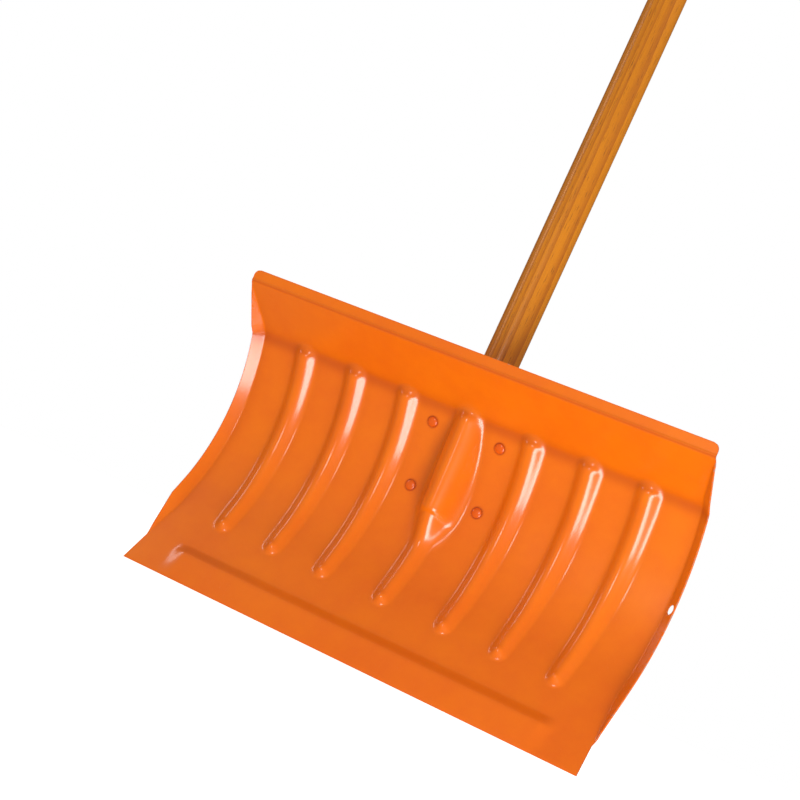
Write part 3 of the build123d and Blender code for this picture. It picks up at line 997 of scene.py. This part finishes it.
    def painted_shades(self, girth: np.ndarray, station: np.ndarray) -> np.ndarray:
        """How strongly painted shade darkens each point: along the crease except on the raised ribs and
        bulge, just below the lip's bead, along the step and in rings around the rivets.
        """
        face = self.layout.face
        painted_shade = self.crease_shade * np.exp(-(((station - face.belly_end) / self.crease_shade_width) ** 2))
        raised = self.ribs(girth, station) + self.bulge(girth, station)
        painted_shade = painted_shade * (1.0 - np.clip(raised / self.unshaded_height, 0.0, 1.0))
        below_bead = station - face.lip_start - self.bead_above_bend + self.bead_width
        painted_shade = np.maximum(painted_shade, self.lip_shade * np.exp(-((below_bead / self.lip_shade_width) ** 2)))
        past_step = station - (self.step_crest + self.step_foot) / 2
        band = self.step_shade * self.along_step(girth) * np.exp(-((past_step / self.step_shade_width) ** 2))
        painted_shade = np.maximum(painted_shade, band)
        for row in (self.layout.upper_rivets, self.layout.lower_rivets):
            apart = np.hypot(np.abs(girth) - self.layout.rivet_spread, station - row)
            ring = np.exp(-(((apart - self.ring_radius) / self.ring_width) ** 2))
            painted_shade = np.maximum(painted_shade, self.ring_shade * ring)
        return painted_shade

    def build(self) -> bpy.types.Object:
        """Build the blade's mesh.

        Returns:
            The blade.
        """
        girth, station = self.grid()
        hang_girth = self.fold_x + self.fold_width / 2
        hang_station = self.layout.face.belly_end - self.hang_below_crease
        apart = np.hypot(girth - hang_girth, station - hang_station)
        inside = apart < self.hang_radius
        cut = inside[:-1, :-1] | inside[1:, :-1] | inside[:-1, 1:] | inside[1:, 1:]
        ring = np.zeros_like(inside)
        for down in (0, 1):
            for across in (0, 1):
                rows, columns = inside.shape
                ring[down:rows - 1 + down, across:columns - 1 + across] |= cut
        ring &= ~inside
        pull = np.where(ring, self.hang_radius / np.maximum(apart, 1e-9), 1.0)
        girth = hang_girth + (girth - hang_girth) * pull
        station = hang_station + (station - hang_station) * pull
        points = self.surface(girth, station).reshape(-1, 3)
        rows, columns = girth.shape
        faces = []
        for i in range(rows - 1):
            for j in range(columns - 1):
                if not cut[i, j]:
                    a = i * columns + j
                    faces.append((a, a + 1, a + 1 + columns, a + columns))
        piece = mesh_object("blade_sheet", points, faces)
        to_side = self.half_girth(station) - np.abs(girth)
        to_end = np.minimum(station, self.layout.face.end - station)
        rim = np.exp(-np.maximum(np.minimum(to_side, to_end), 0.0) / self.rim_width)
        store(piece, "rim", rim.reshape(-1))
        # Painted shade for the paint, stored as a point attribute.
        store(piece, "painted_shade", self.painted_shades(girth, station).reshape(-1))
        drop_loose(piece)
        thicken(piece, self.layout.sheet, self.edge_rounding)
        return settle(piece)


@dataclass
class SocketStrap(Piece):
    """The riveted strap behind the blade: two wings and a half-round cradle round the pole."""

    nodes: tuple[str, ...] = ("socket_strap",)
    sliver: float = 0.00002
    thickness: float = 0.002
    half_width: float = 0.046
    margin: float = 0.011
    wing_corner: float = 0.012
    fillet: float = 0.004
    cradle_above_taper: float = 0.030
    edge_rounding: float = 0.0004
    arc_steps: int = 16
    wall_steps: int = 3
    fillet_steps: int = 6
    wing_steps: int = 14
    cradle_steps: int = 14
    cradle_droop: float = 0.42

    def half_section(self, z: float, wing_y: float, width: float, wing: bool) -> list[tuple[float, float]]:
        """Half of one level section, from the middle of the back outwards.

        Args:
            z: Height of the section.
            wing_y: Where the wing touches the blade's back.
            width: Half width of the wings here.
            wing: Whether the wings reach this height.

        Returns:
            The x and y of each point.
        """
        layout = self.layout
        radius = float(layout.seat_at(np.array([z]))[0]) + layout.socket_clearance
        centre_y = wing_y + self.fillet
        behind = max(centre_y - layout.axis_y, 0.0)
        reach = radius + self.fillet
        centre_x = math.sqrt(max(reach ** 2 - behind ** 2, 0.0))
        touch = math.atan2(centre_x, behind) if wing else math.pi / 2
        points = []
        for k in range(self.arc_steps + 1):
            turn = touch * k / self.arc_steps
            points.append((radius * math.sin(turn), layout.axis_y + radius * math.cos(turn)))
        if not wing:
            return points
        end_x, end_y = points[-1]
        wall_end = min(end_y, centre_y) if behind == 0.0 else end_y
        for k in range(1, self.wall_steps + 1):
            points.append((end_x, end_y + (wall_end - end_y) * k / self.wall_steps))
        for k in range(1, self.fillet_steps + 1):
            turn = touch * (1.0 - k / self.fillet_steps)
            x = centre_x - self.fillet * math.sin(turn)
            points.append((x, centre_y - self.fillet * math.cos(turn)))
        start_x = points[-1][0]
        for k in range(1, self.wing_steps + 1):
            points.append((start_x + (width - start_x) * k / self.wing_steps, wing_y))
        return points

    def rows(self) -> list[tuple[float, float, float, bool]]:
        """Height, wing place, half width and whether the wings reach it, for each level section."""
        layout = self.layout
        low = layout.lower_rivets - self.margin
        high = layout.upper_rivets + self.margin
        stations = graded(low, high, 0.0032, [(low, 0.012, 0.0010), (high, 0.012, 0.0010)])
        rows = []
        for station in stations:
            y, z, _ = layout.on_face(np.array([station]), layout.sheet)
            into = max(low + self.wing_corner - station, station - (high - self.wing_corner), 0.0)
            corner = self.wing_corner - math.sqrt(max(self.wing_corner ** 2 - into ** 2, 0.0))
            rows.append((float(z[0]), float(y[0]), self.half_width - corner, True))
        top = layout.tip_z + layout.taper_length + self.cradle_above_taper
        start = rows[-1][0]
        for k in range(1, self.cradle_steps + 1):
            rows.append((start + (top - start) * k / self.cradle_steps, 0.0, 0.0, False))
        return rows

    def build(self) -> bpy.types.Object:
        """Build the strap's mesh.

        Returns:
            The strap.
        """
        rows = self.rows()
        columns = self.arc_steps + self.wall_steps + self.fillet_steps + self.wing_steps
        wing_top = max(row[0] for row in rows if row[3])
        points = []
        for z, wing_y, width, wing in rows:
            half = self.half_section(z, wing_y, width, wing)
            half += [half[-1]] * (columns + 1 - len(half))
            for k in list(range(columns, 0, -1)) + list(range(columns + 1)):
                x, y = half[k]
                side = -1 if len(points) % (2 * columns + 1) < columns else 1
                share = min(k / self.arc_steps, 1.0)
                drop = 0.0 if wing else (z - wing_top) * self.cradle_droop * share ** 3
                points.append((side * x, y, z - drop))
        across = 2 * columns + 1
        faces = []
        for i in range(len(rows) - 1):
            for j in range(across - 1):
                on_arc = abs(j + 0.5 - columns) < self.arc_steps
                if rows[i + 1][3] or on_arc:
                    a = i * across + j
                    faces.append((a, a + 1, a + 1 + across, a + across))
        piece = mesh_object("strap", np.array(points), faces)
        drop_loose(piece)
        thicken(piece, self.thickness, self.edge_rounding)
        settle(piece)
        drop_loose(piece, self.sliver)
        return piece


@dataclass
class Rivets(Piece):
    """Four closed rivets through blade and strap, made by one Geometry Nodes tree."""

    nodes: tuple[str, ...] = tuple(
        f"rivet_{row}_{side.name.lower()}" for row in ("upper", "lower") for side in Side)
    strap_thickness: float = 0.002
    head_radius: float = 0.0046
    head_height: float = 0.0016
    tail_radius: float = 0.0040
    tail_height: float = 0.0018
    shank_radius: float = 0.0025
    shank_overlap: float = 0.0006
    dome_power: float = 0.42

    def tree(self, material: bpy.types.Material) -> bpy.types.NodeTree:
        """Build the tree that puts a rivet on every point.

        Args:
            material: Material of the rivets.

        Returns:
            The tree, with a named input for each size.
        """
        tree = bpy.data.node_groups.new("rivet_set", "GeometryNodeTree")
        kit = NodeKit(tree)
        tree.interface.new_socket("Geometry", in_out="INPUT", socket_type="NodeSocketGeometry")
        for label in ("Head Radius", "Head Height", "Tail Radius", "Tail Height", "Shank Radius", "Grip"):
            tree.interface.new_socket(label, in_out="INPUT", socket_type="NodeSocketFloat")
        tree.interface.new_socket("Geometry", in_out="OUTPUT", socket_type="NodeSocketGeometry")
        start = tree.nodes.new("NodeGroupInput")
        end = tree.nodes.new("NodeGroupOutput")

        def button(radius: bpy.types.NodeSocket, height: bpy.types.NodeSocket,
                   z: object) -> bpy.types.NodeSocket:
            """Make a domed button whose flat back lies at z. A negative height points it down."""
            ball = kit.new("GeometryNodeMeshUVSphere", Segments=40, Rings=20, Radius=1.0)
            parts = kit.add("SeparateXYZ", Vector=kit.new("GeometryNodeInputPosition").outputs[0])
            x, y = parts.outputs["X"], parts.outputs["Y"]
            squared = kit.plus(kit.times(x, x), kit.times(y, y))
            inside = kit.math("MAXIMUM", kit.math("SUBTRACT", 1.0, squared), 0.0)
            dome = kit.math("POWER", inside, self.dome_power)
            upper = kit.math("GREATER_THAN", parts.outputs["Z"], 0.0)
            rise = kit.times(kit.times(dome, upper), height)
            moved = kit.add("CombineXYZ", X=kit.times(x, radius), Y=kit.times(y, radius),
                            Z=kit.plus(rise, z))
            placed = kit.new("GeometryNodeSetPosition", Geometry=ball.outputs[0], Position=moved.outputs[0])
            return placed.outputs[0]

        grip = start.outputs["Grip"]
        head = button(start.outputs["Head Radius"], kit.times(start.outputs["Head Height"], -1.0), 0.0)
        tail = button(start.outputs["Tail Radius"], start.outputs["Tail Height"], grip)
        shank = kit.new("GeometryNodeMeshCylinder", Vertices=32, Radius=start.outputs["Shank Radius"],
                        Depth=kit.plus(grip, self.shank_overlap))
        middle = kit.add("CombineXYZ", Z=kit.times(grip, 0.5))
        shank = kit.new("GeometryNodeTransform", Geometry=shank.outputs[0], Translation=middle.outputs[0])
        whole = kit.new("GeometryNodeJoinGeometry")
        for part in (head, tail, shank.outputs[0]):
            tree.links.new(part, whole.inputs[0])
        facing = kit.new("GeometryNodeInputNamedAttribute", {"data_type": "FLOAT_VECTOR"}, Name="facing")
        align = kit.new("FunctionNodeAlignRotationToVector", {"axis": "Z"},
                        Vector=facing.outputs["Attribute"])
        spots = kit.new("GeometryNodeMeshToPoints", Mesh=start.outputs["Geometry"])
        copies = kit.new("GeometryNodeInstanceOnPoints", Points=spots.outputs[0], Instance=whole.outputs[0],
                         Rotation=align.outputs[0])
        real = kit.new("GeometryNodeRealizeInstances", Geometry=copies.outputs[0])
        smooth = kit.new("GeometryNodeSetShadeSmooth", Geometry=real.outputs[0])
        coated = kit.new("GeometryNodeSetMaterial", Geometry=smooth.outputs[0], Material=material)
        tree.links.new(coated.outputs[0], end.inputs[0])
        return tree

    def build(self, paint: GlossyPaint) -> bpy.types.Object:
        """Put the rivets in their holes.

        Args:
            paint: The finish that covers them.

        Returns:
            All four rivets as one piece.
        """
        layout = self.layout
        places, facings = [], []
        for station in (layout.upper_rivets, layout.lower_rivets):
            y, z, lean = (float(v[0]) for v in layout.on_face(np.array([station])))
            for side in Side:
                places.append((side.value * layout.rivet_spread, y, z))
                facings.append((0.0, math.cos(lean), -math.sin(lean)))
        piece = mesh_object("rivets", np.array(places), [])
        layer = piece.data.attributes.new("facing", "FLOAT_VECTOR", "POINT")
        layer.data.foreach_set("vector", np.array(facings, np.float32).reshape(-1))
        material = bpy.data.materials.get(paint.name) or paint.make()
        maker = piece.modifiers.new("rivets", "NODES")
        maker.node_group = self.tree(material)
        sizes = {
            "Head Radius": self.head_radius,
            "Head Height": self.head_height,
            "Tail Radius": self.tail_radius,
            "Tail Height": self.tail_height,
            "Shank Radius": self.shank_radius,
            "Grip": layout.sheet + self.strap_thickness,
        }
        for socket in maker.node_group.interface.items_tree:
            if socket.in_out == "INPUT" and socket.name in sizes:
                maker[socket.identifier] = sizes[socket.name]
        return settle(piece)


@dataclass
class Pole(Piece):
    """The turned wooden pole with its tapered tip, its seat and its rounded free end."""

    nodes: tuple[str, ...] = ("pole",)
    tip_rounding: float = 0.003
    end_rounding: float = 0.005
    shoulder_above_taper: float = 0.036
    around: int = 72
    ring_gap: float = 0.010
    seat_steps: int = 10
    shoulder_bluntness: float = 0.0002

    def outline(self) -> list[tuple[float, float]]:
        """Radius and height of each turned ring, from the tip to the free end."""
        layout = self.layout
        radius = layout.pole_radius
        taper_end = layout.tip_z + layout.taper_length
        shoulder = taper_end + self.shoulder_above_taper
        points = [(0.0, layout.tip_z), (layout.tip_radius * 0.4, layout.tip_z)]
        for k in range(5):
            turn = math.radians(22.5 * k)
            r = layout.tip_radius - self.tip_rounding * (1.0 - math.sin(turn))
            points.append((r, layout.tip_z + self.tip_rounding * (1.0 - math.cos(turn))))
        start = layout.tip_z + 2 * self.tip_rounding
        for k in range(self.seat_steps + 1):
            z = start + (taper_end - start) * k / self.seat_steps
            points.append((float(layout.seat_at(np.array([z]))[0]), z))
        blunt = self.shoulder_bluntness
        points += [(layout.seat_radius, shoulder - blunt), (radius, shoulder + blunt)]
        top = layout.top_z - self.end_rounding
        count = int(round((top - shoulder) / self.ring_gap))
        points += [(radius, shoulder + (top - shoulder) * k / count) for k in range(1, count + 1)]
        for k in range(1, 7):
            turn = math.radians(15.0 * k)
            r = radius - self.end_rounding * (1.0 - math.cos(turn))
            points.append((r, top + self.end_rounding * math.sin(turn)))
        return points + [(radius * 0.3, layout.top_z), (0.0, layout.top_z)]

    def build(self) -> bpy.types.Object:
        """Turn the pole.

        Returns:
            The pole.
        """
        place = Matrix.Translation((0.0, self.layout.axis_y, 0.0))
        return lathe("turned_pole", self.outline(), self.around, place)


@dataclass
class PoleScrew(Piece):
    """The slotted round-headed screw behind the cradle."""

    nodes: tuple[str, ...] = ("pole_screw",)
    head_radius: float = 0.0045
    head_height: float = 0.0028
    shank_radius: float = 0.0022
    slot_width: float = 0.0012
    slot_depth: float = 0.0013
    slot_length: float = 0.02
    slot_turn: float = 24.0
    head_edge: float = 0.0004
    point_size: float = 0.0006

    def build(self) -> bpy.types.Object:
        """Turn the screw and cut its slot.

        Returns:
            The screw.
        """
        low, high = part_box("pole_screw")
        seat = high.y - self.head_height
        outline = [(0.0, low.y - seat), (self.point_size, low.y - seat + self.point_size)]
        outline += [(self.shank_radius, low.y - seat + self.shank_radius), (self.shank_radius, 0.0)]
        outline.append((self.head_radius, 0.0))
        for k in range(9):
            turn = math.radians(10.0 * k)
            rise = self.head_edge + (self.head_height - self.head_edge) * math.sin(turn)
            outline.append((self.head_radius * math.cos(turn), rise))
        outline.append((0.0, self.head_height))
        upright = Matrix.Rotation(math.radians(-90), 4, "X")
        place = Matrix.Translation((0.0, seat, (low.z + high.z) / 2)) @ upright
        piece = lathe("slotted_screw", outline, 40, place)
        bpy.ops.mesh.primitive_cube_add(size=1.0)
        cutter = bpy.context.object
        cut = (self.slot_length, 2 * self.slot_depth, self.slot_width, 1.0)
        cutter.data.transform(Matrix.Diagonal(cut))
        cutter.data.transform(Matrix.Rotation(math.radians(self.slot_turn), 4, "Y"))
        cutter.data.transform(Matrix.Translation((0.0, high.y, (low.z + high.z) / 2)))
        slot = piece.modifiers.new("slot", "BOOLEAN")
        slot.operation = "DIFFERENCE"
        slot.object = cutter
        settle(piece)
        bpy.data.objects.remove(cutter)
        piece.data.shade_flat()
        piece.data.set_sharp_from_angle(angle=math.radians(30))
        return piece


# Room


@dataclass(frozen=True)
class Lamp:
    """A soft rectangular lamp: where it stands, the point it faces, its size and its power in watts."""

    name: str
    place: tuple[float, float, float]
    aim: tuple[float, float, float]
    size: Pair
    power: float

    def build(self) -> None:
        """Hang the lamp."""
        light = bpy.data.lights.new(self.name, "AREA")
        light.shape = "RECTANGLE"
        light.size, light.size_y = self.size
        light.energy = self.power
        lamp = bpy.data.objects.new(self.name, light)
        bpy.context.scene.collection.objects.link(lamp)
        lamp.location = self.place
        facing = Vector(self.aim) - Vector(self.place)
        lamp.rotation_euler = facing.to_track_quat("-Z", "Y").to_euler()
        lamp.visible_camera = False


@dataclass
class Studio:
    """Pale floor, soft lights and the camera."""

    floor_size: float = 400.0
    floor_shade: float = 0.90
    floor_roughness: float = 0.9
    floor_glow: float = 0.75
    sky_fill: float = 0.60
    sky_mirror: float = 0.05
    camera_place: tuple[float, float, float] = (0.6835, -1.4476, 0.0579)
    camera_aim: tuple[float, float, float] = (-0.07665, 0.02449, 0.22702)
    camera_roll: float = 24.87
    lens: float = 84.64
    lamps: tuple[Lamp, ...] = (
        Lamp("side_soft", (1.12, -0.95, -0.62), (0.0, 0.0, 0.17), (0.60, 1.10), 21.0),
        Lamp("front_soft", (0.05, -1.50, 0.32), (0.0, 0.0, 0.20), (0.16, 0.36), 2.4),
        Lamp("left_soft", (-1.15, -0.45, 0.75), (0.0, 0.0, 0.40), (0.20, 0.60), 1.2),
        Lamp("top_soft", (1.3, 0.2, 2.0), (0.0, 0.0, 0.2), (1.2, 1.2), 6.0),
    )

    def floor(self) -> None:
        """Lay the floor, which is brighter to the camera only, so that it lights nothing."""
        half = self.floor_size / 2
        corners = np.array([(-half, -half, 0.0), (half, -half, 0.0), (half, half, 0.0), (-half, half, 0.0)])
        piece = mesh_object("floor", corners, [(0, 1, 2, 3)])
        material = bpy.data.materials.new("pale_floor")
        material.use_nodes = True
        shader = material.node_tree.nodes["Principled BSDF"]
        shader.inputs["Base Color"].default_value = (*(self.floor_shade,) * 3, 1.0)
        shader.inputs["Roughness"].default_value = self.floor_roughness
        shader.inputs["Emission Color"].default_value = (1.0, 1.0, 1.0, 1.0)
        kit = NodeKit(material.node_tree)
        seen = kit.times(kit.add("LightPath").outputs["Is Camera Ray"], self.floor_glow)
        kit.feed(shader.inputs["Emission Strength"], seen)
        piece.data.materials.append(material)
        piece.visible_glossy = False
        piece.visible_shadow = False

    def world(self) -> None:
        """Fill the room with even white light."""
        world = bpy.data.worlds.new("white_room")
        bpy.context.scene.world = world
        world.use_nodes = True
        world.cycles.sampling_method = "NONE"
        kit = NodeKit(world.node_tree)
        sky = world.node_tree.nodes["Background"]
        sky.inputs["Color"].default_value = (1.0, 1.0, 1.0, 1.0)
        ray = kit.add("LightPath")
        dimming = kit.times(ray.outputs["Is Glossy Ray"], self.sky_fill - self.sky_mirror)
        fill = kit.math("SUBTRACT", self.sky_fill, dimming)
        seen = kit.times(ray.outputs["Is Camera Ray"], 1.0 - self.sky_fill)
        kit.feed(sky.inputs["Strength"], kit.plus(fill, seen))

    def camera(self) -> None:
        """Set up the camera."""
        data = bpy.data.cameras.new("camera")
        data.lens = self.lens
        camera = bpy.data.objects.new("camera", data)
        bpy.context.scene.collection.objects.link(camera)
        place = Vector(self.camera_place)
        level = (Vector(self.camera_aim) - place).to_track_quat("-Z", "Y").to_matrix().to_4x4()
        roll = Matrix.Rotation(math.radians(self.camera_roll), 4, "Z")
        camera.matrix_world = Matrix.Translation(place) @ level @ roll
        bpy.context.scene.camera = camera

    def build(self) -> None:
        """Set up the whole room."""
        self.floor()
        self.world()
        for lamp in self.lamps:
            lamp.build()
        self.camera()
        settings = bpy.context.scene.view_settings
        settings.view_transform = "Standard"
        settings.look = "None"


def main() -> None:
    """Build every piece, dress it and set up the room."""
    layout = Layout()
    blade_paint = GlossyPaint("orange_blade_paint", "blade_paint")
    strap_paint = GlossyPaint("orange_strap_paint", "strap_paint", peel_depth=0.00002, chip_amount=0.6)
    rivet_paint = GlossyPaint("orange_rivet_paint", "rivet_paint", colour=(0.78, 0.105, 0.0, 1.0),
                              chip_amount=0.2, wave_depth=0.0)
    wood = VarnishedWood("golden_wood", "pole_wood", scratch_amount=0.5)
    steel = PlatedSteel("zinc_steel", "screw_steel", mottle_size=0.002)
    blade = Blade(layout)
    blade.dress(blade.build(), blade_paint)
    strap = SocketStrap(layout)
    strap.dress(strap.build(), strap_paint)
    rivets = Rivets(layout)
    rivets.dress(rivets.build(rivet_paint), rivet_paint)
    pole = Pole(layout)
    pole.dress(pole.build(), wood)
    screw = PoleScrew(layout)
    screw.dress(screw.build(), steel)
    Studio().build()


if __name__ == "__main__":
    main()
